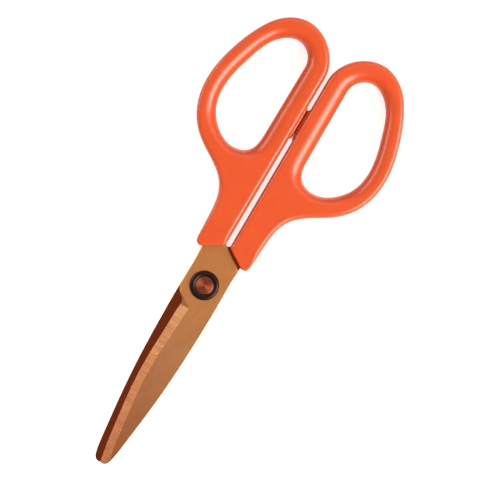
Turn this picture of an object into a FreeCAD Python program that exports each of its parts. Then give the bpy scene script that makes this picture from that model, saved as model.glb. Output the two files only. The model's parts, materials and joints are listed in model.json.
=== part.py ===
import FreeCAD, Part
import os
import Sketcher

# A pair of right-handed shears, closed and lying flat.
#
# The pair is two equal halves. The rear half has its handle at +X and its blade under the
# mating plane; the front half is the rear half turned 180 degrees about the Y axis, so its
# handle is at -X and its blade is on top. Blade tips point to -Y and handles to +Y.
#
# Every piece is drawn in the pivot frame: the pivot axis is Z, and Z = 0 is the mating plane.
# The placements then lift the pair so that the handles stand on Z = 0 and the middle of the
# pair's length and width is at X = Y = 0.

DOC = FreeCAD.newDocument("Shears")
SHEET = DOC.addObject("Spreadsheet::Sheet", "Sizes")

SIZES = [
    # blades
    ("blade_reach", 74.4, "pivot axis to blade tip"),
    ("spine_reach", 7.9, "pivot axis to the spine of a blade"),
    ("edge_reach", 4.7, "pivot axis to the furthest point of a cutting edge, across the blade"),
    ("blade_gauge", 1.6, "thickness of the blade stock"),
    ("mating_gap", 0.05, "mating plane to the inner face of each blade"),
    ("edge_land", 0.15, "thickness left at the cutting edge"),
    ("bevel_top", 10.15, "pivot axis to the end of the bevel nearest the pivot"),
    ("bevel_width", 3.05, "width of the bevel, across the blade"),
    # tangs, inside the handles
    ("tang_near", 2.2, "centre line to the near side of a tang"),
    ("tang_far", 7.3, "centre line to the far side of a tang"),
    ("tang_end", 37.0, "pivot axis to the end of a tang"),
    ("tang_play", 0.02, "moulding clearance round a tang"),
    # handles
    ("handle_reach", 101.7, "pivot axis to the far end of the handles"),
    ("handle_span", 37.6, "centre line to the outside of a finger loop"),
    ("handle_depth", 10.0, "thickness of the handles"),
    ("rim_round", 1.4, "edge radius round the outside of a handle"),
    ("hole_round", 2.8, "edge radius round a finger hole"),
    ("hole_near", 8.9, "centre line to the near side of a finger hole"),
    ("hole_far", 30.55, "centre line to the far side of a finger hole"),
    ("hole_low", 48.55, "pivot axis to the end of a finger hole nearest the pivot"),
    ("hole_high", 93.75, "pivot axis to the far end of a finger hole"),
    ("side_gap", 0.6, "centre line to the straight side of a handle"),
    ("stop_gap", 0.05, "centre line to the face of a handle stop"),
    ("stop_low", 61.3, "pivot axis to the near end of a handle stop"),
    ("stop_high", 74.0, "pivot axis to the far end of a handle stop"),
    ("stop_depth", 6.6, "thickness of a handle stop"),
    # pivot
    ("shank_radius", 2.5, "pivot rivet, shank"),
    ("head_radius", 3.3, "pivot rivet, head"),
    ("head_base", 2.1, "mating plane to the underside of the rivet head"),
    ("head_top", 2.85, "mating plane to the top of the rivet head"),
    ("head_chamfer", 0.2, "chamfer round the rivet head"),
    ("neck_radius", 1.6, "pivot rivet, neck that is peened over"),
    ("neck_base", 2.55, "mating plane to the shoulder of the neck, on the rear side"),
    ("peen_radius", 2.3, "peened end of the rivet"),
    ("peen_base", 3.05, "mating plane to the underside of the peened end"),
    ("peen_top", 3.5, "mating plane to the top of the peened end"),
    ("bore_radius", 3.4, "pivot hole in each blade"),
    ("sleeve_radius", 3.38, "part of a collar that sits in a blade"),
    ("collar_radius", 5.4, "black collar on the face of a blade"),
    ("collar_ridge", 4.05, "radius of the highest line of a collar"),
    ("recess_radius", 3.45, "recess in a collar for the rivet head or its washer"),
    ("recess_floor", 2.05, "mating plane to the floor of a collar's recess"),
    ("front_collar_top", 2.95, "mating plane to the top of the front collar"),
    ("rear_collar_top", 3.25, "mating plane to the top of the rear collar"),
    ("running_play", 0.03, "radial clearance between a collar or washer and the shank"),
    ("washer_radius", 4.9, "slip washer between the blades"),
    ("washer_half", 0.22, "half the thickness of the slip washer"),
    ("washer_seat", 0.25, "mating plane to the floor of a slip washer's seat"),
    ("spring_gauge", 0.25, "thickness of the disc spring"),
    ("spring_rise", 0.15, "height of the disc spring's cone"),
]

for row, (alias, value, meaning) in enumerate(SIZES, start=1):
    SHEET.set("A%d" % row, alias)
    SHEET.set("B%d" % row, str(value))
    SHEET.setAlias("B%d" % row, alias)
    SHEET.set("C%d" % row, meaning)
SHEET.set("A%d" % (len(SIZES) + 1), "centre_y")
SHEET.set("B%d" % (len(SIZES) + 1), "=(blade_reach - handle_reach) / 2")
SHEET.setAlias("B%d" % (len(SIZES) + 1), "centre_y")
DOC.recompute()


def size(alias):
    """The value of one cell of the sheet."""
    return float(SHEET.get(alias))


def vec(x, y, z=0.0):
    return FreeCAD.Vector(x, y, z)


# ---------------------------------------------------------------- drawing helpers

def new_body(label):
    body = DOC.addObject("PartDesign::Body", label)
    body.Label = label
    return body


def new_sketch(body, name, plane="XY_Plane", offset=0.0):
    """A sketch on an origin plane of the body, moved along that plane's normal."""
    sketch = body.newObject("Sketcher::SketchObject", name)
    support = [item for item in body.Origin.OriginFeatures if item.Role == plane][0]
    sketch.AttachmentSupport = [(support, "")]
    sketch.MapMode = "FlatFace"
    sketch.AttachmentOffset = FreeCAD.Placement(vec(0, 0, offset), FreeCAD.Rotation())
    return sketch


def smooth_curve(points, start, end):
    """A curve through points, leaving and arriving in the given unit directions."""
    lengths = [0.0]
    for last, point in zip(points, points[1:]):
        lengths.append(lengths[-1] + last.distanceToPoint(point))
    curve = Part.BSplineCurve()
    curve.interpolate(Points=points, Parameters=lengths, InitialTangent=vec(*start), FinalTangent=vec(*end),
                      Scale=False)
    return curve


def draw(sketch, stretches):
    """Draw a closed outline: each stretch is a list of points, two for a straight line and
    more for a smooth curve, with the directions of the curve's ends."""
    for points, start, end in stretches:
        points = [vec(*point) for point in points]
        if len(points) == 2:
            curve = Part.LineSegment(points[0], points[1])
        else:
            curve = smooth_curve(points, start, end)
        sketch.addGeometry(curve, False)


def along(start, end):
    """The unit direction from one point of an outline to another."""
    step = vec(*end) - vec(*start)
    step.normalize()
    return (step.x, step.y)


def polygon(points):
    """A closed outline of straight lines."""
    return [([a, b], None, None) for a, b in zip(points, points[1:] + points[:1])]


def draw_circle(sketch, alias):
    """A circle about the pivot axis whose radius is a cell of the sheet."""
    sketch.addGeometry(Part.Circle(vec(0, 0), vec(0, 0, 1), size(alias)), False)
    index = sketch.addConstraint(Sketcher.Constraint("Radius", 0, size(alias)))
    sketch.renameConstraint(index, alias)
    sketch.setExpression("Constraints." + alias, "Sizes." + alias)


def pad(body, sketch, name, length, symmetric=False, reverse=False):
    feature = body.newObject("PartDesign::Pad", name)
    feature.Profile = sketch
    feature.setExpression("Length", length)
    feature.Midplane = symmetric
    feature.Reversed = reverse
    DOC.recompute()
    return feature


def cut_solid(body, before, feature):
    """Stop if a cutting feature has taken nothing away."""
    DOC.recompute()
    if feature.Shape.Volume > before - 0.01:
        raise RuntimeError("%s in %s cuts nothing" % (feature.Label, body.Label))
    return feature


def pocket(body, sketch, name, length=None, reverse=False):
    before = body.Tip.Shape.Volume
    feature = body.newObject("PartDesign::Pocket", name)
    feature.Profile = sketch
    feature.Reversed = reverse
    if length is None:
        feature.Type = "ThroughAll"
        feature.Midplane = True
    else:
        feature.setExpression("Length", length)
    return cut_solid(body, before, feature)


def round_edges(body, name, radius, chosen):
    """Fillet the edges of the newest feature that the function chosen picks."""
    base = body.Tip
    edges = ["Edge%d" % number for number, edge in enumerate(base.Shape.Edges, start=1) if chosen(edge)]
    feature = body.newObject("PartDesign::Fillet", name)
    feature.Base = (base, edges)
    feature.setExpression("Radius", radius)
    DOC.recompute()
    return feature


def place(item, flipped):
    """Lift a piece from the pivot frame to the pair's own frame. A flipped piece belongs to the
    front half: it is turned 180 degrees about Y on the way."""
    turn = FreeCAD.Rotation(vec(0, 1, 0), 180 if flipped else 0)
    item.Placement = FreeCAD.Placement(vec(0, 0), turn)
    item.setExpression("Placement.Base.y", "Sizes.centre_y")
    item.setExpression("Placement.Base.z", "Sizes.handle_depth / 2")


def turned(label, outline, flipped=False):
    """A piece turned about the pivot axis, from its outline of (radius, height) points."""
    body = new_body(label)
    sketch = new_sketch(body, label + "_outline", "XZ_Plane")
    draw(sketch, polygon(outline))
    DOC.recompute()
    revolution = body.newObject("PartDesign::Revolution", label + "_turning")
    revolution.Profile = sketch
    revolution.ReferenceAxis = (sketch, ["V_Axis"])
    revolution.Angle = 360
    place(body, flipped)
    return body


# ---------------------------------------------------------------- blades

def blade_outline():
    """The rear blade seen from the front: spine at -X, cutting edge at +X."""
    tip = -size("blade_reach")
    spine = -size("spine_reach")
    edge = size("edge_reach")
    tang_end = size("tang_end")
    near = size("tang_near")
    far = size("tang_far")
    spine_curve = [(spine * 0.99, 7.3), (spine, 0), (spine * 0.99, -18.0), (spine * 0.9, -36.3),
                   (spine * 0.745, -50.7), (spine * 0.535, -65.2), (spine * 0.375, -72.5)]
    edge_curve = [(0.05, tip), (1.05, -68.9), (edge * 0.56, -58.0), (edge * 0.9, -44.0),
                  (edge, -30.0), (edge * 0.94, -19.5), (edge * 0.86, -9.9)]
    notch_curve = [edge_curve[-1], (4.8, -8.0), (6.3, -6.55), (7.75, -4.5)]
    flank = [(7.75, -4.5), (7.85, 0), (7.8, 8.0), (8.1, 12.2)]
    shoulder = [(-0.6, 15.9), (-8.1, 11.0), (spine * 0.99, 7.3)]
    tip_corner = [(spine * 0.375, -72.5), (spine * 0.28, -73.8), (spine * 0.13, tip)]
    return [
        (spine_curve, (0.02, -1), (0.3, -1)),
        (tip_corner, (0.25, -1), (1, 0)),
        ([tip_corner[-1], edge_curve[0]], None, None),
        (edge_curve, (0.15, 1), (-0.12, 1)),
        (notch_curve, (0.05, 1), (0.45, 1)),
        (flank, (0.05, 1), (0.15, 1)),
        ([flank[-1], (far, 14.4)], None, None),
        ([(far, 14.4), (far, tang_end)], None, None),
        ([(far, tang_end), (near, tang_end)], None, None),
        ([(near, tang_end), (near, 17.8)], None, None),
        ([(near, 17.8), shoulder[0]], None, None),
        (shoulder[:2], None, None),
        (shoulder[1:], None, None),
    ]


def bevel_sections():
    """Stations along the blade, each with the places of the cutting edge and the bevel's top."""
    width = size("bevel_width")
    edge = size("edge_reach")
    top = -size("bevel_top")
    return [(top, edge * 0.86, 0.3), (-20.0, edge * 0.94, 1.05), (-30.0, edge, edge - width),
            (-44.0, edge * 0.9, edge * 0.9 - width), (-58.0, edge * 0.56, edge * 0.56 - width),
            (-68.9, 1.05, 1.05 - width), (-76.0, -0.25, -0.25 - width)]


def make_blade(label, flipped):
    inner = -size("mating_gap")
    outer = inner - size("blade_gauge")
    body = new_body(label)
    outline = new_sketch(body, label + "_outline", "XY_Plane", inner)
    draw(outline, blade_outline())
    pad(body, outline, label + "_stock", "Sizes.blade_gauge", reverse=True)

    sections = []
    overshoot = 1.0
    for number, (y, edge, top) in enumerate(bevel_sections(), start=1):
        section = new_sketch(body, "%s_bevel_%d" % (label, number), "XZ_Plane", -y)
        land = inner - size("edge_land")
        slope = (land - outer) / (edge - top)
        draw(section, polygon([
            (top - overshoot, outer - slope * overshoot),
            (edge + overshoot, land + slope * overshoot),
            (edge + overshoot, outer - slope * overshoot),
        ]))
        sections.append(section)
    DOC.recompute()
    before = body.Tip.Shape.Volume
    bevel = body.newObject("PartDesign::SubtractiveLoft", label + "_bevel")
    bevel.Profile = sections[0]
    bevel.Sections = sections[1:]
    cut_solid(body, before, bevel)

    bore = new_sketch(body, label + "_bore_circle")
    draw_circle(bore, "bore_radius")
    DOC.recompute()
    pocket(body, bore, label + "_bore")
    seat = new_sketch(body, label + "_seat_circle")
    draw_circle(seat, "washer_radius")
    DOC.recompute()
    pocket(body, seat, label + "_washer_seat", "Sizes.washer_seat")
    place(body, flipped)
    return body


# ---------------------------------------------------------------- handles

def handle_outline():
    """The rear handle without its finger hole, counter-clockwise from its end by the pivot."""
    side = size("side_gap")
    span = size("handle_span")
    reach = size("handle_reach")
    near_end = (side + 0.3, 16.5)
    side_end = (side, 86.5)
    end_face = (8.3, 11.85)
    corner = [end_face, (10.4, 12.1), (11.25, 14.5)]
    shank = [corner[-1], (11.6, 21.5), (12.3, 29.0), (14.4, 34.6), (20.0, 39.9), (26.4, 43.9), (31.6, 48.4),
             (35.4, 54.4), (span, 65.2), (35.1, 79.7), (30.6, 90.6), (25.1, 97.9), (16.0, reach),
             (6.0, 97.9), (1.2, 90.6), side_end]
    up_shank = (0.03, 1)
    return [
        ([near_end, end_face], None, None),
        (corner, along(near_end, end_face), up_shank),
        (shank, up_shank, along(side_end, near_end)),
        ([side_end, near_end], None, None),
    ]


def hole_outline():
    near = size("hole_near")
    far = size("hole_far")
    low = size("hole_low")
    high = size("hole_high")
    side_low = (near + 0.25, 57.5)
    side_high = (near, 86.5)
    loop = [side_high, (10.1, 90.6), (15.4, high), (22.2, 90.6), (27.7, 79.7), (far, 65.2),
            (29.2, 58.0), (25.4, 52.6), (16.7, low), (11.0, 50.8), side_low]
    upward = along(side_low, side_high)
    return [
        (loop, upward, upward),
        ([side_low, side_high], None, None),
    ]


def stop_outline():
    face = size("stop_gap")
    low = size("stop_low")
    high = size("stop_high")
    side = size("side_gap")
    root = side + 1.0
    return polygon([(face, low + 0.5), (root, low - 0.2), (root, high), (side, high), (face, high - 0.6)])


def tang_slot_outline():
    """The tang and the root of the blade, with the moulding clearance round them."""
    play = size("tang_play")
    near = size("tang_near") - play
    far = size("tang_far") + play
    end = size("tang_end") + play
    return polygon([(-1.0, 15.7), (-1.0, 14.0), (8.3, 10.0), (8.3, 12.3), (far, 14.6), (far, end), (near, end),
                    (near, 17.85)])


def is_rim(edge):
    """True for an edge that lies in the top or the underside of a handle."""
    half = size("handle_depth") / 2
    return all(abs(abs(vertex.Z) - half) < 0.001 for vertex in edge.Vertexes)


def is_hole_rim(edge):
    box = edge.BoundBox
    inside = box.XMin > size("hole_near") - 0.1 and box.XMax < size("hole_far") + 0.1
    return is_rim(edge) and inside and box.YMin > size("hole_low") - 0.1


def make_handle(label, flipped):
    body = new_body(label)
    outline = new_sketch(body, label + "_outline")
    draw(outline, handle_outline())
    pad(body, outline, label + "_moulding", "Sizes.handle_depth", symmetric=True)
    round_edges(body, label + "_rim", "Sizes.rim_round", is_rim)

    hole = new_sketch(body, label + "_hole_outline")
    draw(hole, hole_outline())
    DOC.recompute()
    pocket(body, hole, label + "_hole")
    round_edges(body, label + "_hole_rim", "Sizes.hole_round", is_hole_rim)

    stop = new_sketch(body, label + "_stop_outline")
    draw(stop, stop_outline())
    pad(body, stop, label + "_stop", "Sizes.stop_depth", symmetric=True)

    play = size("tang_play")
    slot = new_sketch(body, label + "_slot_outline", "XY_Plane", -size("mating_gap") + play)
    draw(slot, tang_slot_outline())
    DOC.recompute()
    pocket(body, slot, label + "_slot", "Sizes.blade_gauge + 2 * Sizes.tang_play")
    place(body, flipped)
    return body


# ---------------------------------------------------------------- pivot

def make_collar(label, top, flipped):
    """A black bush: its sleeve fills a blade's bore and its rounded flange lies on the blade.
    It is drawn on the front side, so the rear one is the flipped one."""
    bore = size("shank_radius") + size("running_play")
    sleeve = size("sleeve_radius")
    rim = size("collar_radius")
    ridge = size("collar_ridge")
    recess = size("recess_radius")
    face = size("mating_gap") + size("blade_gauge")
    floor = size("recess_floor")
    sleeve_end = size("washer_seat") + 0.05
    rim_height = 0.35
    shoulder_height = 0.9
    ridge_fall = 0.05
    lip = 0.25
    return turned(label, [
        (bore, sleeve_end), (sleeve, sleeve_end), (sleeve, face), (rim, face), (rim, face + rim_height),
        (rim - rim_height, face + shoulder_height), (ridge + 0.3, top - ridge_fall), (ridge, top),
        (recess + 0.2, top - ridge_fall), (recess, top - lip), (recess, floor), (bore, floor),
    ], flipped)


def make_rivet():
    """Shouldered rivet: head on the front side, peened end on the rear side."""
    shank = size("shank_radius")
    head = size("head_radius")
    chamfer = size("head_chamfer")
    neck = size("neck_radius")
    neck_base = -size("neck_base")
    peen = size("peen_radius")
    peen_base = -size("peen_base")
    peen_top = -size("peen_top")
    head_base = size("head_base")
    head_top = size("head_top")
    crown_radius = peen - 0.7
    crown_fall = 0.08
    peen_edge = 0.1
    return turned("pivot_rivet", [
        (0, peen_top), (crown_radius, peen_top + crown_fall), (peen, peen_base - peen_edge),
        (peen, peen_base), (neck, peen_base), (neck, neck_base), (shank, neck_base), (shank, head_base),
        (head, head_base), (head, head_top - chamfer), (head - chamfer, head_top), (0, head_top),
    ])


def make_pivot():
    """The pieces on the pivot axis, from the front to the rear."""
    play = size("running_play")
    shank = size("shank_radius")
    washer = size("washer_half")
    inner = shank + 2 * play
    outer = size("recess_radius") - 2 * play
    rim = size("washer_radius") - play
    gauge = size("spring_gauge")
    spring_low = size("recess_floor") + 0.02
    spring_high = spring_low + size("spring_rise")
    burr_top = size("peen_base")
    burr_base = size("neck_base")
    burr_bore = size("neck_radius") + play
    burr_chamfer = 0.15
    return [
        make_rivet(),
        make_collar("front_collar", size("front_collar_top"), False),
        make_collar("rear_collar", size("rear_collar_top"), True),
        turned("slip_washer", [(inner, -washer), (rim, -washer), (rim, washer), (inner, washer)]),
        turned("disc_spring", [
            (inner, -spring_high), (outer, -spring_low), (outer, -spring_low - gauge),
            (inner, -spring_high - gauge)]),
        turned("rivet_burr", [
            (burr_bore, -burr_base), (outer, -burr_base), (outer, -burr_top + burr_chamfer),
            (outer - burr_chamfer, -burr_top), (burr_bore, -burr_top)]),
    ]


# ---------------------------------------------------------------- the pair

def check_document():
    for item in DOC.Objects:
        if "Invalid" in item.State or "Error" in item.State:
            raise RuntimeError("%s failed: %s" % (item.Label, item.State))


def write_pieces(pieces):
    os.makedirs("parts", exist_ok=True)
    for piece in pieces:
        shape = piece.Shape
        if shape.isNull() or not shape.isValid():
            raise RuntimeError("%s has no valid shape" % piece.Label)
        shape.exportStep("parts/%s.step" % piece.Label)
        print("%-14s %d solid, %9.1f mm3" % (piece.Label, len(shape.Solids), shape.Volume))


PIECES = [
    make_blade("front_blade", True),
    make_blade("rear_blade", False),
    make_handle("front_handle", True),
    make_handle("rear_handle", False),
]
PIECES += make_pivot()
DOC.recompute()
check_document()
write_pieces(PIECES)
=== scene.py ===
import bpy
import bmesh
import json
import math
import numpy as np
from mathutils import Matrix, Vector, geometry


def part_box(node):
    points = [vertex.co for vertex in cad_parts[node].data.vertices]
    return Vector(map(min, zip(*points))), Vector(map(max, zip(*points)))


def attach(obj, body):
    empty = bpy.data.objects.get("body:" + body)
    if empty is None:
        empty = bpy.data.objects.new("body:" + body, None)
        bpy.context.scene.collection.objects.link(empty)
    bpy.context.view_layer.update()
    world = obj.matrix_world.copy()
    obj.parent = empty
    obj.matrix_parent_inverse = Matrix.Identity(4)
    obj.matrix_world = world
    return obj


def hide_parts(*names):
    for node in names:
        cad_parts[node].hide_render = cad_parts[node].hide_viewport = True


# Orange-handled shears with bronze-coloured blades, closed, seen from straight above.
#
# Every piece is drawn in millimetres in the rear half's pivot frame: the pivot axis is Z, Z = 0
# is the plane where the blades meet, tips point to -Y and handles to +Y, and the rear handle is
# at +X with its blade under Z = 0. The front half is the same thing turned half way round Y.

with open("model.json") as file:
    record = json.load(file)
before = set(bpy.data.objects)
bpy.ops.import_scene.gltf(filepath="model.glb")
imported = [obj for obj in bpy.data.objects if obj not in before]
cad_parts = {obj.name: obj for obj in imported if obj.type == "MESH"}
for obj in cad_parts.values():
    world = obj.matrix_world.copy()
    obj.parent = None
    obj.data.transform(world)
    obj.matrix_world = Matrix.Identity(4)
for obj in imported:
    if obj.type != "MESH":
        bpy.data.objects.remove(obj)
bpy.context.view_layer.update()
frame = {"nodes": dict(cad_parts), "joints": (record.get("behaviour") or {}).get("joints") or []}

PIVOT = Vector(frame["joints"][0]["pos_m"])
MM = 0.001
REAR = "rear_half"
FRONT = "front_half"


# ---------------------------------------------------------------- curves and outlines

def unit(start, end):
    """The direction from one point to another."""
    step = np.subtract(end, start)
    return step / np.linalg.norm(step)


def smooth_curve(points, start, end, step):
    """Points about one step apart on the smooth curve through the given points, which leaves the
    first and reaches the last in the given directions."""
    points = np.array(points, float)
    spans = np.linalg.norm(np.diff(points, axis=0), axis=1)
    count = len(points)
    matrix = np.zeros((count, count))
    right = np.zeros((count, 2))
    matrix[0, 0] = matrix[-1, -1] = 1.0
    right[0], right[-1] = unit((0, 0), start), unit((0, 0), end)
    for k in range(1, count - 1):
        before, after = spans[k - 1], spans[k]
        matrix[k, k - 1:k + 2] = 1 / before, 2 / before + 2 / after, 1 / after
        right[k] = 3 * ((points[k] - points[k - 1]) / before ** 2 + (points[k + 1] - points[k]) / after ** 2)
    slopes = np.linalg.solve(matrix, right)
    dense = []
    for k, span in enumerate(spans):
        u = np.linspace(0, 1, max(2, int(round(span / step)) + 1))[:-1, None]
        dense.append((2 * u ** 3 - 3 * u ** 2 + 1) * points[k] + (u ** 3 - 2 * u ** 2 + u) * span * slopes[k]
                     + (3 * u ** 2 - 2 * u ** 3) * points[k + 1] + (u ** 3 - u ** 2) * span * slopes[k + 1])
    return np.vstack(dense)


CORNER_PASSES = 2    # how many times an outline's points are averaged with their neighbours


def outline(stretches, step):
    """Evenly spaced points on a closed outline. A stretch is (points, start, end): two points are
    a straight line, more are a smooth curve. The averaging rounds the corners slightly."""
    dense = []
    for points, start, end in stretches:
        if len(points) == 2:
            start = end = unit(*points)
        dense.append(smooth_curve(points, start, end, step / 4))
    dense = np.vstack(dense)
    closed = np.vstack([dense, dense[:1]])
    travel = np.concatenate([[0], np.cumsum(np.linalg.norm(np.diff(closed, axis=0), axis=1))])
    at = np.linspace(0, travel[-1], int(travel[-1] / step), endpoint=False)
    even = np.stack([np.interp(at, travel, closed[:, k]) for k in (0, 1)], axis=1)
    for _ in range(CORNER_PASSES):
        even = (np.roll(even, 1, axis=0) + 2 * even + np.roll(even, -1, axis=0)) / 4
    return even


def inward(points):
    """Unit normals of a closed outline, to the left of its direction of travel."""
    along = np.roll(points, -1, axis=0) - np.roll(points, 1, axis=0)
    along /= np.linalg.norm(along, axis=1)[:, None]
    return np.stack([-along[:, 1], along[:, 0]], axis=1)


def ramp(value, low, high):
    """0 at low and before, 1 at high and after, smooth between."""
    u = np.clip((np.asarray(value, float) - low) / (high - low), 0, 1)
    return u * u * (3 - 2 * u)


def distance_to(points, others):
    """Distance from each point to the nearest of the other points."""
    steps = points[:, None, :] - others[None, :, :]
    return np.sqrt((steps ** 2).sum(axis=2).min(axis=1))


# ---------------------------------------------------------------- building pieces

def to_frame(points, body):
    """Millimetres in the rear half's pivot frame to metres in the part's own frame."""
    turn = np.array([-1, 1, -1]) if body == FRONT else np.ones(3)
    return np.asarray(points, float) * turn * MM + np.array(PIVOT)


def make_piece(name, vertices, faces, body, materials, node, crease, face_materials=None):
    """A mesh piece that rides on a body and stands for a CAD node. Its edges are sharp where the
    faces turn by more than the crease angle, in degrees."""
    mesh = bpy.data.meshes.new(name)
    mesh.from_pydata([tuple(v) for v in to_frame(vertices, body)], [], faces)
    for material in materials:
        mesh.materials.append(material)
    if face_materials is not None:
        mesh.polygons.foreach_set("material_index", face_materials)
    outward = bmesh.new()
    outward.from_mesh(mesh)
    bmesh.ops.recalc_face_normals(outward, faces=outward.faces)
    outward.to_mesh(mesh)
    outward.free()
    mesh.polygons.foreach_set("use_smooth", [True] * len(mesh.polygons))
    mesh.set_sharp_from_angle(angle=math.radians(crease))
    mesh.validate()
    piece = bpy.data.objects.new(name, mesh)
    bpy.context.scene.collection.objects.link(piece)
    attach(piece, body)
    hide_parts(node)


def ring_faces(first, second, count):
    """Quads between two closed rings of vertices that start at the given numbers."""
    return [(first + k, first + (k + 1) % count, second + (k + 1) % count, second + k) for k in range(count)]


SLIVER = 1e-5    # a triangle of less area, in square millimetres, has its corners in line


def fill_between(loops, extra_points=(), extra_edges=()):
    """Triangles over the flat region that the loops bound, through extra points and edges.
    Returns the points and the triangles, wound counter-clockwise."""
    points, edges = [], []
    for loop in loops:
        base = len(points)
        points += [Vector(p) for p in loop]
        edges += [(base + k, base + (k + 1) % len(loop)) for k in range(len(loop))]
    base = len(points)
    points += [Vector(p) for p in extra_points]
    edges += [(base + a, base + b) for a, b in extra_edges]
    made, _, triangles, _, _, _ = geometry.delaunay_2d_cdt(points, edges, [], 0, 1e-6)
    made = np.array([tuple(p) for p in made])
    kept = []
    for triangle in triangles:
        corners = made[list(triangle)]
        if area(corners) > SLIVER and inside(corners.mean(axis=0), loops):
            kept.append(triangle)
    return made, kept


def area(triangle):
    """The area of a flat triangle."""
    (ax, ay), (bx, by) = triangle[1] - triangle[0], triangle[2] - triangle[0]
    return abs(ax * by - ay * bx) / 2


def inside(point, loops):
    """True if the point is inside an odd number of the loops."""
    crossings = 0
    for loop in loops:
        a, b = loop, np.roll(loop, -1, axis=0)
        spans = (a[:, 1] > point[1]) != (b[:, 1] > point[1])
        x = a[spans, 0] + (point[1] - a[spans, 1]) * (b[spans, 0] - a[spans, 0]) / (b[spans, 1] - a[spans, 1])
        crossings += int((x > point[0]).sum())
    return crossings % 2 == 1


# ---------------------------------------------------------------- handles

HANDLE_TOP = 5.0          # half the handle's thickness
SIDE = 0.6                # centre line to the straight side of a handle
RIM = 1.7                 # edge radius round the outside
END_RIM = 0.6             # edge radius at the end by the pivot
DRAFT = 0.12              # lean of the outer wall between the edge radius and the parting line
FLAT_MARGIN = 0.25        # flat strip between an edge radius and the flat face's triangles
HOLE_SLOPE = 5.0          # width of the soft slope into a finger hole
HOLE_SLOPE_END = 62       # steepness of its arc where it meets the wall, in degrees
HOLE_WALL = 2.0           # half the height of the straight wall in a finger hole
STOP_LOW, STOP_HIGH = 61.2, 74.0
STOP_FACES = (-0.04, 0.05, 0.14)    # centre line to a stop's face above, at and below the parting line
# A stop's rounded edge, as (height, share of the stop's full reach) down the outer wall.
STOP_EDGE = ((3.12, 0), (3.02, 0.5), (2.88, 0.88), (2.6, 1), (1.3, 1), (0.14, 1))
PARTING = 0.05            # the parting line stands back this far from the walls
HANDLE_STEP = 0.4         # spacing of a handle's vertices
HANDLE_CREASE = 40


def rounded(before, corner, after, radius):
    """The corner between two straight lines as a three-point stretch with the given radius."""
    into, out = unit(corner, before), unit(corner, after)
    half = math.acos(np.clip(into @ out, -1, 1)) / 2
    reach = radius / math.tan(half)
    dip = radius / math.sin(half) - radius
    middle = corner + dip * unit((0, 0), into + out)
    return ([corner + reach * into, middle, corner + reach * out], -into, out)


def handle_outline():
    near_end = np.array((SIDE + 0.3, 16.5))
    near_round = 1.0
    side_end = (SIDE, 86.5)
    end_face = (8.3, 11.85)
    corner = [end_face, (10.4, 12.1), (11.25, 14.5)]
    shank = [corner[-1], (11.6, 21.5), (12.3, 29.0), (14.4, 34.6), (20.0, 39.9), (26.4, 43.9), (31.6, 48.4),
             (35.4, 54.4), (37.6, 65.2), (35.1, 79.7), (30.6, 90.6), (25.1, 97.9), (16.0, 101.7),
             (6.0, 97.9), (1.2, 90.6), side_end]
    up_shank = (0.03, 1)
    near_corner = rounded(side_end, near_end, end_face, near_round)
    return [
        near_corner,
        ([near_corner[0][-1], end_face], None, None),
        (corner, unit(near_end, end_face), up_shank),
        (shank, up_shank, unit(side_end, near_end)),
        ([side_end, near_corner[0][0]], None, None),
    ]


def hole_outline():
    side_low, side_high = (9.15, 57.5), (8.9, 86.5)
    bow = [side_high, (10.1, 90.6), (15.4, 93.75), (22.2, 90.6), (27.7, 79.7), (30.55, 65.2),
           (29.2, 58.0), (25.4, 52.6), (16.7, 48.55), (11.0, 50.8), side_low]
    upward = unit(side_low, side_high)
    return [(bow, upward, upward), ([side_low, side_high], None, None)]


def stop_reach(points, face):
    """How a handle stop moves each point of the outer wall towards the centre line. Its low end is
    a soft slope and its high end is round."""
    slope_length, fade_length, fade = 1.1, 4.5, 0.16
    end_radius = 0.7
    side_limit = 1.5
    x, y = points[:, 0], points[:, 1]
    faded = face + fade * (1 - ramp(y, STOP_LOW, STOP_LOW + fade_length))
    into_end = np.clip((y - STOP_HIGH + end_radius) / end_radius, 0, 1)
    round_end = np.sqrt(np.clip(1 - into_end ** 2, 0, 1))
    window = ramp(y, STOP_LOW, STOP_LOW + slope_length) * round_end * (y < STOP_HIGH)
    return np.stack([np.where(x < side_limit, (x - faded) * window, 0.0), np.zeros(len(points))], axis=1)


def outer_rings(points, side):
    """Rings of the outer wall from the flat face to the parting line, as (points, height), for
    the upper (1) or lower (-1) side."""
    end_low, end_high = 14.5, 21.0    # where the smaller edge radius at the end turns into the full one
    normals = inward(points)
    radius = (END_RIM + (RIM - END_RIM) * ramp(points[:, 1], end_low, end_high))[:, None]
    rings = [(points + normals * (radius + DRAFT + FLAT_MARGIN), np.full(len(points), HANDLE_TOP))]
    for angle in np.radians(np.linspace(0, 90, 11)):
        ring = points + normals * (DRAFT + radius * (1 - math.sin(angle)))
        rings.append((ring, HANDLE_TOP - radius[:, 0] * (1 - math.cos(angle))))
    reach = stop_reach(points, STOP_FACES[1 - side])
    for height, share in STOP_EDGE:
        lean = DRAFT * height / (HANDLE_TOP - RIM)
        rings.append((points + normals * lean - reach * share, np.full(len(points), height)))
    rings.append((points + normals * PARTING - stop_reach(points, STOP_FACES[1]), np.zeros(len(points))))
    return rings


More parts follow.
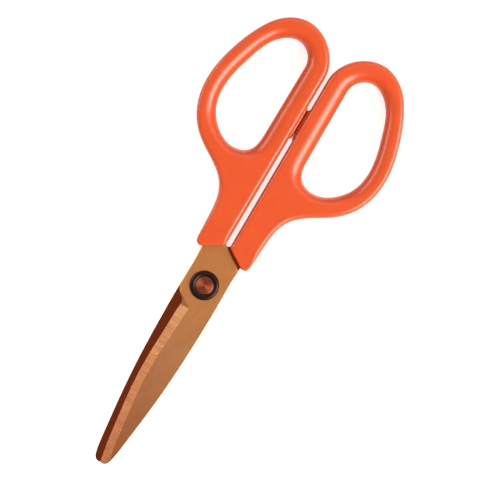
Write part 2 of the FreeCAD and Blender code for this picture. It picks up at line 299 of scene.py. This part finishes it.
def hole_rings(points, outer):
    """Rings of the finger hole's soft slope and wall, from the flat face to the parting line. The
    slope is narrower at the hole's two ends, and leaves a flat strip beside the outer edge radius."""
    narrower_above, narrower_below = 1.0, 2.0
    spare = 2 * FLAT_MARGIN + 0.3
    smoothing_passes = 12
    wall_end = 0.12           # the wall turns in to the parting line at this height
    normals = inward(points)
    above, below = ramp(normals[:, 1], 0.3, 1.0), ramp(-normals[:, 1], 0.3, 1.0)
    room = distance_to(points, outer) - RIM - DRAFT - spare
    slope = np.minimum(HOLE_SLOPE - narrower_above * above - narrower_below * below, room)
    for _ in range(smoothing_passes):
        slope = (np.roll(slope, 1) + 2 * slope + np.roll(slope, -1)) / 4
    slope = slope[:, None]
    rings = [(points + normals * (slope + FLAT_MARGIN), np.full(len(points), HANDLE_TOP))]
    end = math.radians(HOLE_SLOPE_END)
    for angle in np.linspace(0, end, 17):
        ring = points + normals * slope * (1 - math.sin(angle) / math.sin(end))
        rise = (HANDLE_TOP - HOLE_WALL) * (math.cos(angle) - math.cos(end)) / (1 - math.cos(end))
        rings.append((ring, np.full(len(points), HOLE_WALL + rise)))
    rings.append((points, np.full(len(points), wall_end)))
    rings.append((points + normals * PARTING, np.zeros(len(points))))
    return rings


def whole_wall(upper, lower):
    """The rings of the upper side down to the parting line, then those of the lower side."""
    return upper + [(ring, -height) for ring, height in lower[-2::-1]]


def make_handle(name, body, material, node):
    outer, hole = outline(handle_outline(), HANDLE_STEP), outline(hole_outline(), HANDLE_STEP)
    outer_wall = whole_wall(outer_rings(outer, 1), outer_rings(outer, -1))
    slope = hole_rings(hole, outer)
    vertices, faces, top, bottom = [], [], [], []
    for rings in (outer_wall, whole_wall(slope, slope)):
        starts = []
        for ring, height in rings:
            starts.append(len(vertices))
            vertices += [(x, y, z) for (x, y), z in zip(ring, height)]
        for first, second in zip(starts, starts[1:]):
            faces += ring_faces(first, second, len(rings[0][0]))
        top.append((starts[0], rings[0][0]))
        bottom.append((starts[-1], rings[-1][0]))
    for flat in (top, bottom):
        numbers = [start + k for start, loop in flat for k in range(len(loop))]
        _, triangles = fill_between([loop for _, loop in flat])
        faces += [tuple(numbers[k] for k in triangle) for triangle in triangles]
    make_piece(name, vertices, faces, body, [material], node, HANDLE_CREASE)


# ---------------------------------------------------------------- blades

GAUGE = 1.6               # thickness of the blade stock
INNER = 0.05              # mating plane to a blade's inner face
LAND = 0.15               # thickness left at the cutting edge
BORE = 3.4                # radius of the pivot hole
SEAT = 4.9                # radius of the slip washer's seat in the inner face
SEAT_DEPTH = 0.2
BEVEL_END = -10.15        # where the bevel stops and its run-out starts
HOLLOW = 0.09             # depth of the hollow ground in the inner face
BLADE_STEP = 0.35         # spacing of the vertices round a blade
BLADE_PITCH = 1.1         # spacing of the vertices across its faces
BLADE_CREASE = 12
SATIN, GROUND, POLISHED = 0, 1, 2    # the order of a blade's materials

EDGE_CURVE = [(0.05, -74.4), (1.05, -68.9), (2.63, -58.0), (4.23, -44.0), (4.7, -30.0), (4.42, -19.5),
              (4.04, -9.9)]
EDGE_LEAVES, EDGE_REACHES = (0.15, 1), (-0.12, 1)


def blade_outline():
    spine = [(-7.82, 7.3), (-7.9, 0.0), (-7.82, -18.0), (-7.11, -36.3), (-5.89, -50.7), (-4.23, -65.2),
             (-2.96, -72.5)]
    tip_corner = [spine[-1], (-2.21, -73.8), (-1.03, -74.4)]
    notch = [EDGE_CURVE[-1], (4.8, -8.0), (6.3, -6.55), (7.75, -4.5)]
    flank = [notch[-1], (7.85, 0.0), (7.8, 8.0), (8.1, 12.2)]
    tang = [flank[-1], (7.3, 14.4), (7.3, 37.0), (2.2, 37.0), (2.2, 17.8)]
    shoulder = [(-0.6, 15.9), (-8.1, 11.0), spine[0]]
    straight = tang + shoulder
    curved = [
        (spine, (0.02, -1), (0.3, -1)),
        (tip_corner, (0.25, -1), (1, 0)),
        ([tip_corner[-1], EDGE_CURVE[0]], None, None),
        (EDGE_CURVE, EDGE_LEAVES, EDGE_REACHES),
        (notch, (0.05, 1), (0.45, 1)),
        (flank, (0.05, 1), (0.15, 1)),
    ]
    return curved + [([a, b], None, None) for a, b in zip(straight, straight[1:])]


EDGE_DENSE = smooth_curve(EDGE_CURVE, EDGE_LEAVES, EDGE_REACHES, 0.2)
RUN_OUT = np.array((0.3, BEVEL_END)), np.array((4.9, -7.1))    # where the bevel's run-out starts
RUN_OUT_SLOPE = 0.72
SHOULDER = np.array((-7.6, 10.2)), np.array((0.2, 15.7))       # where the shoulder's chamfer starts
SHOULDER_SLOPE = 0.25


def bevel_width(y):
    """Width of the bevel, which widens towards the pivot."""
    return np.interp(y, (-30.0, -20.0, BEVEL_END), (3.05, 3.37, 3.6))


def bevel_top_x(y):
    """Where the bevel meets the flat of the blade."""
    return np.interp(y, EDGE_DENSE[:, 1], EDGE_DENSE[:, 0]) - bevel_width(y)


def left_of(points, line):
    """How far each point is to the left of a line between two points, looking along it."""
    along = unit(*line)
    away = points - line[0]
    return away[:, 1] * along[0] - away[:, 0] * along[1]


def outer_height(points):
    """Thickness of the blade at each point: flat stock, less the bevel, its run-out and the
    shoulder's chamfer."""
    x, y = points[:, 0], points[:, 1]
    across = np.clip((bevel_top_x(y) + bevel_width(y) - x) / bevel_width(y), 0, 1)
    bevel = LAND + (GAUGE - LAND) * across
    run_out = GAUGE + RUN_OUT_SLOPE * left_of(points, RUN_OUT)
    edge_side = np.where(y > BEVEL_END, run_out, np.maximum(bevel, run_out))
    chamfered = GAUGE - SHOULDER_SLOPE * left_of(points, SHOULDER)
    by_shoulder = (x < 2.0) & (y > 5.0)
    return np.clip(np.where(by_shoulder, chamfered, edge_side), LAND, GAUGE)


def inner_hollow(points, loop):
    """Depth of the hollow ground in the inner face, which starts short of the outline and of the
    pivot and gets gradually deeper."""
    rim_starts, rim_full = 0.6, 4.5
    pivot_starts, pivot_full = 9.0, 16.0
    from_outline = ramp(distance_to(points, loop), rim_starts, rim_full)
    from_pivot = ramp(-points[:, 1], pivot_starts, pivot_full)
    return HOLLOW * from_outline * from_pivot


def outer_finish(point):
    """The bevel is ground and the rest of the outer face is satin."""
    least_depth = 0.01
    on_bevel = point[1] < BEVEL_END and outer_height(point[None])[0] < GAUGE - least_depth
    return GROUND if on_bevel else SATIN


def grid_inside(loop, hole):
    """Points of a square grid that are inside the loop, outside the hole and not near either."""
    keep_off = 0.35
    low, high = loop.min(axis=0), loop.max(axis=0)
    x, y = np.meshgrid(np.arange(low[0], high[0], BLADE_PITCH), np.arange(low[1], high[1], BLADE_PITCH))
    points = np.stack([x.ravel(), y.ravel()], axis=1)
    points = np.array([p for p in points if inside(p, [loop, hole])])
    clear = distance_to(points, np.vstack([loop, hole])) > keep_off
    return points[clear]


def circle(radius, count):
    """Points round a circle about the pivot, clockwise."""
    turn = np.linspace(0, 2 * math.pi, count, endpoint=False)
    return radius * np.stack([np.cos(turn), np.sin(turn)], axis=1)[::-1]


def crease_lines(loop):
    """Lines where the bevel, its run-out and the shoulder's chamfer meet the flat, kept just
    inside the outline."""
    keep_off = 0.25
    edge_side = (3.85, BEVEL_END)
    y = np.arange(BEVEL_END, -74.0, -0.8)
    bevel_top = np.stack([bevel_top_x(y), y], axis=1)
    run_out_top = np.linspace(*RUN_OUT, 9)[1:]
    bevel_end = np.linspace(RUN_OUT[0], edge_side, 7)[1:]
    kept = []
    for line in (bevel_top, run_out_top, bevel_end, np.linspace(*SHOULDER, 24)):
        good = [p for p in line if inside(p, [loop]) and distance_to(p[None], loop)[0] > keep_off]
        kept.append(np.array(good))
    return kept


class BladeMesh:
    """The vertices and faces of a blade, and each face's finish. Heights are the depth of stock
    below the inner face."""

    def __init__(self):
        self.vertices, self.faces, self.finishes = [], [], []

    def wall(self, *rings):
        """Add rings given as (points, height) and the satin faces between them. Returns the number
        of each ring's first vertex."""
        starts, count = [], len(rings[0][0])
        for points, height in rings:
            starts.append(len(self.vertices))
            heights = np.broadcast_to(height, count)
            self.vertices += [(x, y, -INNER - h) for (x, y), h in zip(points, heights)]
        for first, second in zip(starts, starts[1:]):
            self.faces += ring_faces(first, second, count)
            self.finishes += [SATIN] * count
        return starts

    def skin(self, loops, starts, height_of, grid, lines, finish_of):
        """Cover one face of the blade between its outline and a circle round the pivot, through a
        grid and crease lines."""
        extra, edges = list(grid), []
        for line in lines:
            base = len(extra)
            extra += list(line)
            edges += [(base + k, base + k + 1) for k in range(len(line) - 1)]
        points, triangles = fill_between(loops, extra, edges)
        numbers = [start + k for start, loop in zip(starts, loops) for k in range(len(loop))]
        new_points = points[len(numbers):]
        for (x, y), height in zip(new_points, height_of(new_points)):
            numbers.append(len(self.vertices))
            self.vertices.append((x, y, -INNER - height))
        for triangle in triangles:
            self.faces.append(tuple(numbers[k] for k in triangle))
            self.finishes.append(finish_of(points[list(triangle)].mean(axis=0)))


def make_blade(name, body, materials, node):
    outer_chamfer, inner_chamfer, inner_rise = 0.16, 0.06, 0.04
    bore_outer_chamfer, bore_inner_chamfer = 0.15, 0.1
    around = 96               # vertices round the pivot hole
    line_gap = 0.4            # the grid keeps this far from the crease lines
    loop = outline(blade_outline(), BLADE_STEP)
    normals = inward(loop)
    thickness = outer_height(loop)
    chamfer = np.minimum(outer_chamfer, 0.4 * thickness)
    outer_loop = loop + normals * chamfer[:, None]
    inner_loop = loop + normals * inner_chamfer
    bore = circle(BORE, around)
    bore_outer = circle(BORE + bore_outer_chamfer, around)
    bore_inner = circle(BORE + bore_inner_chamfer, around)
    seat = circle(SEAT, around)

    mesh = BladeMesh()
    rim = mesh.wall((inner_loop, 0.0), (loop, np.minimum(inner_rise, 0.25 * thickness)),
                    (loop, thickness - chamfer), (outer_loop, outer_height(outer_loop)))
    hole = mesh.wall((seat, 0.0), (seat, SEAT_DEPTH), (bore_inner, SEAT_DEPTH),
                     (bore, SEAT_DEPTH + bore_inner_chamfer), (bore, GAUGE - bore_outer_chamfer),
                     (bore_outer, GAUGE))
    lines = crease_lines(outer_loop)
    grid = grid_inside(outer_loop, bore_outer)
    off_lines = distance_to(grid, np.vstack(lines)) > line_gap
    mesh.skin([outer_loop, bore_outer], (rim[-1], hole[-1]), outer_height, grid[off_lines], lines,
              outer_finish)
    mesh.skin([inner_loop, seat], (rim[0], hole[0]), lambda points: inner_hollow(points, inner_loop),
              grid_inside(inner_loop, seat), [], lambda point: POLISHED)
    make_piece(name, mesh.vertices, mesh.faces, body, materials, node, BLADE_CREASE,
               mesh.finishes)


# ---------------------------------------------------------------- turned pieces

SEGMENTS = 128            # vertices round a turned piece
TURNED_CREASE = 30


def make_turned(name, profile, body, material, node):
    """A piece turned about the pivot axis from (radius, height) points: a closed profile, or an
    open one that starts and ends on the axis."""
    on_axis = profile[0][0] == 0
    turn = np.linspace(0, 2 * math.pi, SEGMENTS, endpoint=False)
    vertices, starts = [], []
    for radius, height in profile:
        starts.append(len(vertices))
        if radius == 0:
            vertices.append((0, 0, height))
        else:
            vertices += [(radius * math.cos(a), radius * math.sin(a), height) for a in turn]
    faces = []
    pairs = list(zip(range(len(profile)), range(1, len(profile))))
    if not on_axis:
        pairs.append((len(profile) - 1, 0))
    for a, b in pairs:
        if profile[a][0] == 0:
            faces += [(starts[a], starts[b] + (k + 1) % SEGMENTS, starts[b] + k) for k in range(SEGMENTS)]
        elif profile[b][0] == 0:
            faces += [(starts[b], starts[a] + k, starts[a] + (k + 1) % SEGMENTS) for k in range(SEGMENTS)]
        else:
            faces += ring_faces(starts[a], starts[b], SEGMENTS)
    make_piece(name, vertices, faces, body, [material], node, TURNED_CREASE)


def arc(centre, radii, first, last, count):
    """Points on part of an ellipse, from one angle to another in degrees."""
    angles = np.radians(np.linspace(first, last, count))
    return [(centre[0] + radii[0] * math.cos(a), centre[1] + radii[1] * math.sin(a)) for a in angles]


# ---------------------------------------------------------------- materials

class Look:
    """A material with one Principled shader, and short ways to add its nodes."""

    def __init__(self, name, **sockets):
        self.material = bpy.data.materials.new(name)
        self.material.use_nodes = True
        self.tree = self.material.node_tree
        self.tree.nodes.clear()
        self.shader = self.add("ShaderNodeBsdfPrincipled")
        self.link(self.shader.outputs[0], self.add("ShaderNodeOutputMaterial").inputs[0])
        self.place = self.add("ShaderNodeTexCoord").outputs["Object"]
        for socket, value in sockets.items():
            self.shader.inputs[socket.replace("_", " ")].default_value = value

    def add(self, kind, **settings):
        node = self.tree.nodes.new(kind)
        for setting, value in settings.items():
            setattr(node, setting, value)
        return node

    def link(self, output, entry):
        self.tree.links.new(output, entry)

    def noise(self, grain, stretch=(1, 1, 1), detail=3.0):
        """Noise with grains of about this many millimetres, divided by the stretch along X, Y and Z."""
        mapping = self.add("ShaderNodeMapping")
        mapping.inputs["Scale"].default_value = [s / (grain * MM) for s in stretch]
        self.link(self.place, mapping.inputs["Vector"])
        noise = self.add("ShaderNodeTexNoise")
        noise.inputs["Scale"].default_value = 1.0
        noise.inputs["Detail"].default_value = detail
        self.link(mapping.outputs[0], noise.inputs["Vector"])
        return noise.outputs["Fac"]

    def place_along(self, axis):
        """The surface's own place along one axis, in metres."""
        separate = self.add("ShaderNodeSeparateXYZ")
        self.link(self.place, separate.inputs[0])
        return separate.outputs[axis]

    def spread(self, value, low, high, from_low=0.3, from_high=0.7):
        """The value's usual span stretched to run from low to high."""
        span = self.add("ShaderNodeMapRange")
        self.link(value, span.inputs["Value"])
        limits = {"From Min": from_low, "From Max": from_high, "To Min": low, "To Max": high}
        for socket, number in limits.items():
            span.inputs[socket].default_value = number
        return span.outputs[0]

    def colours(self, value, stops):
        """Colours along a value, from (position, (red, green, blue)) stops."""
        band = self.add("ShaderNodeValToRGB")
        elements = band.color_ramp.elements
        while len(elements) < len(stops):
            elements.new(0.5)
        for element, (position, colour) in zip(elements, stops):
            element.position = position
            element.color = (*colour, 1)
        self.link(value, band.inputs["Fac"])
        return band.outputs["Color"]

    def total(self, first, second):
        """Two values added."""
        node = self.add("ShaderNodeMath", operation="ADD")
        self.link(first, node.inputs[0])
        self.link(second, node.inputs[1])
        return node.outputs[0]

    def multiply(self, first, second):
        """Two colours multiplied."""
        node = self.add("ShaderNodeMix", data_type="RGBA", blend_type="MULTIPLY")
        node.inputs["Factor"].default_value = 1.0
        first_colour, second_colour, result = node.inputs[6], node.inputs[7], node.outputs[2]
        self.link(first, first_colour)
        self.link(second, second_colour)
        return result

    def bump(self, value, depth):
        """Bumps this many millimetres deep."""
        bump = self.add("ShaderNodeBump")
        bump.inputs["Strength"].default_value = 1.0
        bump.inputs["Distance"].default_value = depth * MM
        self.link(value, bump.inputs["Height"])
        self.link(bump.outputs[0], self.shader.inputs["Normal"])

    def to(self, output, socket):
        self.link(output, self.shader.inputs[socket])


def orange_plastic():
    look = Look("orange_plastic", Specular_IOR_Level=0.6, Subsurface_Weight=0.35,
                Subsurface_Radius=(1.0, 0.2, 0.05), Subsurface_Scale=1.8 * MM)
    cloud = look.noise(9.0, detail=2.0)
    look.to(look.colours(cloud, [(0.3, (0.49, 0.052, 0.0030)), (0.7, (0.52, 0.056, 0.0036))]), "Base Color")
    look.to(look.spread(look.noise(0.6), 0.28, 0.33), "Roughness")
    look.bump(look.noise(0.35, detail=4.0), 0.003)
    return look.material


def tint_with_painted_reflection(look, near_pivot, middle, near_tip):
    """The coating's colour, with a painted reflection along the blade that makes it lighter near the pivot
    and darker towards the tips.
    """
    tip, past_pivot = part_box("front_blade")[0].y, PIVOT.y + 0.004
    along = look.spread(look.place_along("Y"), 0, 1, tip, past_pivot)
    return look.colours(along, [(0.0, near_tip), (0.62, middle), (0.9, near_pivot)])


def satin_bronze():
    look = Look("satin_bronze", Metallic=1.0)
    # the coating's colour with a painted reflection: lighter near the pivot, darker towards the tip
    tint = tint_with_painted_reflection(look, (0.69, 0.275, 0.092), (0.62, 0.262, 0.115), (0.44, 0.145, 0.056))
    cloud = look.colours(look.noise(4.0, (1, 0.4, 1)), [(0.3, (0.93, 0.93, 0.93)), (0.7, (1, 1, 1))])
    look.to(look.multiply(tint, cloud), "Base Color")
    grain = look.noise(0.12, (1, 0.12, 1), 4.0)
    look.to(look.spread(grain, 0.30, 0.40), "Roughness")
    look.bump(grain, 0.002)
    return look.material


def ground_bronze():
    look = Look("ground_bronze", Metallic=1.0)
    # the bevel's colour with a painted reflection: lighter near the pivot, darker towards the tip
    tint = tint_with_painted_reflection(look, (0.95, 0.500, 0.250), (0.72, 0.310, 0.140), (0.58, 0.225, 0.100))
    marks = look.noise(0.3, (0.04, 1, 0.04), 4.0)
    streaks = look.colours(marks, [(0.3, (0.78, 0.76, 0.74)), (0.7, (1, 1, 1))])
    look.to(look.multiply(tint, streaks), "Base Color")
    fine_until, coarse_from = PIVOT.y - 0.031, PIVOT.y - 0.014
    coarse = look.spread(look.place_along("Y"), 0.0, 0.08, fine_until, coarse_from)
    look.to(look.total(look.spread(marks, 0.20, 0.27), coarse), "Roughness")
    look.bump(marks, 0.0015)
    return look.material


def polished_bronze():
    look = Look("polished_bronze", Metallic=1.0)
    marks = look.noise(0.2, (0.04, 1, 0.04), 4.0)
    look.to(look.colours(marks, [(0.3, (0.24, 0.040, 0.012)), (0.7, (0.34, 0.062, 0.020))]), "Base Color")
    look.to(look.spread(marks, 0.16, 0.24), "Roughness")
    look.bump(marks, 0.0015)
    return look.material


def black_acetal():
    look = Look("black_acetal", IOR=1.48, Specular_IOR_Level=0.24, Specular_Tint=(1, 0.8, 0.8, 1))
    cloud = look.noise(0.9)
    tint = look.colours(cloud, [(0.3, (0.0040, 0.0015, 0.0016)), (0.7, (0.007, 0.0028, 0.003))])
    look.to(tint, "Base Color")
    look.to(look.spread(cloud, 0.28, 0.36), "Roughness")
    look.bump(look.noise(0.2, detail=3.0), 0.002)
    return look.material


def turned_copper():
    look = Look("turned_copper", Metallic=1.0, Anisotropic=0.85, Anisotropic_Rotation=0.25)
    tangent = look.add("ShaderNodeTangent", direction_type="RADIAL", axis="Z")
    look.to(tangent.outputs[0], "Tangent")
    cloud = look.noise(0.5)
    look.to(look.colours(cloud, [(0.3, (0.255, 0.064, 0.030)), (0.7, (0.290, 0.074, 0.036))]), "Base Color")
    look.to(look.spread(cloud, 0.33, 0.39), "Roughness")
    look.bump(look.noise(0.08), 0.001)
    return look.material


def natural_nylon():
    look = Look("natural_nylon", IOR=1.5)
    cloud = look.noise(0.8)
    look.to(look.colours(cloud, [(0.3, (0.70, 0.66, 0.58)), (0.7, (0.76, 0.73, 0.66))]), "Base Color")
    look.to(look.spread(cloud, 0.4, 0.5), "Roughness")
    return look.material


def spring_steel():
    look = Look("spring_steel", Metallic=1.0)
    grain = look.noise(0.15)
    look.to(look.colours(grain, [(0.3, (0.42, 0.41, 0.40)), (0.7, (0.5, 0.49, 0.47))]), "Base Color")
    look.to(look.spread(grain, 0.25, 0.35), "Roughness")
    return look.material


# ---------------------------------------------------------------- pivot

def collar_profile(top):
    """A black bush: sleeve in the blade, flange on it, recess for the rivet head or its burr.
    Heights grow away from the mating plane."""
    inner, sleeve, recess, ridge, flange = 2.53, 3.38, 3.45, 4.15, 5.4
    sleeve_end, recess_floor = 0.30, 2.05
    face = INNER + GAUGE
    side_top = face + 0.3
    foot = 0.06               # chamfer under the flange
    bush = [(inner, sleeve_end), (inner, recess_floor), (recess, recess_floor)]
    inner_band = [(recess, top - 0.42), (recess + 0.05, top - 0.32), (ridge - 0.2, top - 0.03)]
    outer_band = arc((ridge, side_top), (flange - ridge, top - side_top), 90, 0, 15)
    underside = [(flange, face + foot), (flange - foot, face), (sleeve, face), (sleeve, sleeve_end)]
    return bush + inner_band + outer_band + underside


def rivet_profile():
    """From the turned face on the front side to the peened end on the rear side."""
    head, shank, neck, peen = 3.3, 2.5, 1.6, 2.3
    top, head_base, neck_base, peen_base, end = 2.85, 2.1, -2.55, -3.05, -3.49
    pitch, depth = 0.2, 0.008    # of the rings left by turning
    rim = 0.22                # edge radius of the head
    peen_edge = peen_base - 0.09
    radii = np.arange(pitch / 5, head - rim - 0.1, pitch / 5)
    rings = [(r, top - depth * (1 + math.cos(2 * math.pi * r / pitch)) / 2) for r in radii]
    edge = arc((head - rim, top - rim - 0.02), (rim, rim), 90, 0, 8)
    peened = arc((peen - 0.8, peen_edge), (0.8, 0.3), 0, -90, 8)
    return ([(0, top - depth)] + rings + edge
            + [(head, head_base), (shank, head_base), (shank, neck_base), (neck, neck_base)]
            + [(neck, peen_base), (peen, peen_base)] + peened + [(0, end)])


def burr_profile():
    """A flat washer with a rounded outer edge, between the rear collar and the peened end."""
    inner, outer, near, far = 1.63, 3.37, -2.57, -3.04
    side_end = -2.9
    across, down = 0.17, 0.16    # size of the rounded edge
    edge = arc((outer - across, far + down), (across, down), 0, -90, 6)
    return [(inner, near), (outer, near), (outer, side_end)] + edge + [(inner, far)]


def make_pivot():
    black, copper = black_acetal(), turned_copper()
    for name, body, top in (("front_collar_ring", FRONT, 2.95), ("rear_collar_ring", REAR, 3.25)):
        profile = [(radius, -height) for radius, height in collar_profile(top)]
        make_turned(name, profile, body, black, name.replace("_ring", ""))
    make_turned("rivet", rivet_profile(), REAR, copper, "pivot_rivet")
    make_turned("burr", burr_profile(), REAR, copper, "rivet_burr")
    for node, material in (("slip_washer", natural_nylon()), ("disc_spring", spring_steel())):
        mesh = frame["nodes"][node].data
        mesh.materials.clear()
        mesh.materials.append(material)


# ---------------------------------------------------------------- floor, light and camera

AIM = (0.0027, 0.0071)    # middle of the picture
WIDTH = 0.174             # width of the picture at the shears
DISTANCE = 2.0            # camera to the shears
TURN = 30.6               # the shears lie at this angle across the picture


def make_floor():
    mesh = bpy.data.meshes.new("floor")
    reach = 3.0
    level = -0.0001           # just under the handles, so that no faces coincide
    mesh.from_pydata([(-reach, -reach, level), (reach, -reach, level), (reach, reach, level),
                      (-reach, reach, level)], [], [(0, 1, 2, 3)])
    look = Look("lit_table", Base_Color=(0.66, 0.66, 0.66, 1), Roughness=0.9,
                Emission_Color=(1, 1, 1, 1), Emission_Strength=0.75)
    mesh.materials.append(look.material)
    floor = bpy.data.objects.new("floor", mesh)
    bpy.context.scene.collection.objects.link(floor)


def make_softbox(name, azimuth, lean, power, colour, size):
    """A rectangular light one metre away, at an angle round from +X and leaning this far from
    overhead, in degrees. Its size is its width along the horizon and its height."""
    data = bpy.data.lights.new(name, "AREA")
    data.shape = "RECTANGLE"
    data.size, data.size_y = size
    data.energy = power
    data.color = colour
    light = bpy.data.objects.new(name, data)
    a, b = math.radians(azimuth), math.radians(lean)
    towards = Vector((math.sin(b) * math.cos(a), math.sin(b) * math.sin(a), math.cos(b)))
    light.location = towards
    light.rotation_mode = "QUATERNION"
    light.rotation_quaternion = towards.to_track_quat("Z", "Y")
    bpy.context.scene.collection.objects.link(light)


def make_world(strength, colour):
    world = bpy.data.worlds.new("studio")
    world.use_nodes = True
    background = world.node_tree.nodes["Background"]
    background.inputs["Color"].default_value = (*colour, 1)
    background.inputs["Strength"].default_value = strength
    bpy.context.scene.world = world


def make_camera():
    data = bpy.data.cameras.new("camera")
    data.lens = data.sensor_width * DISTANCE / WIDTH
    data.clip_end = 10.0
    camera = bpy.data.objects.new("camera", data)
    camera.location = (*AIM, PIVOT.z + DISTANCE)
    camera.rotation_euler = (0, 0, math.radians(TURN))
    bpy.context.scene.collection.objects.link(camera)
    bpy.context.scene.camera = camera


WARM = (1.0, 0.93, 0.82)

orange = orange_plastic()
blade_looks = [satin_bronze(), ground_bronze(), polished_bronze()]
for half in (FRONT, REAR):
    side = half.replace("_half", "")
    make_handle(side + "_grip", half, orange, side + "_handle")
    make_blade(side + "_cutter", half, blade_looks, side + "_blade")
make_pivot()
make_floor()
make_softbox("key", 0, 45, 18.0, WARM, (0.95, 0.55))
make_softbox("fill", 180, 64, 3.7, WARM, (0.8, 0.14))
make_softbox("back", 90, 45, 4.0, (1.0, 0.97, 0.92), (1.5, 1.0))
make_world(0.45, (1.0, 0.96, 0.91))
make_camera()
bpy.context.scene.view_settings.view_transform = "Standard"
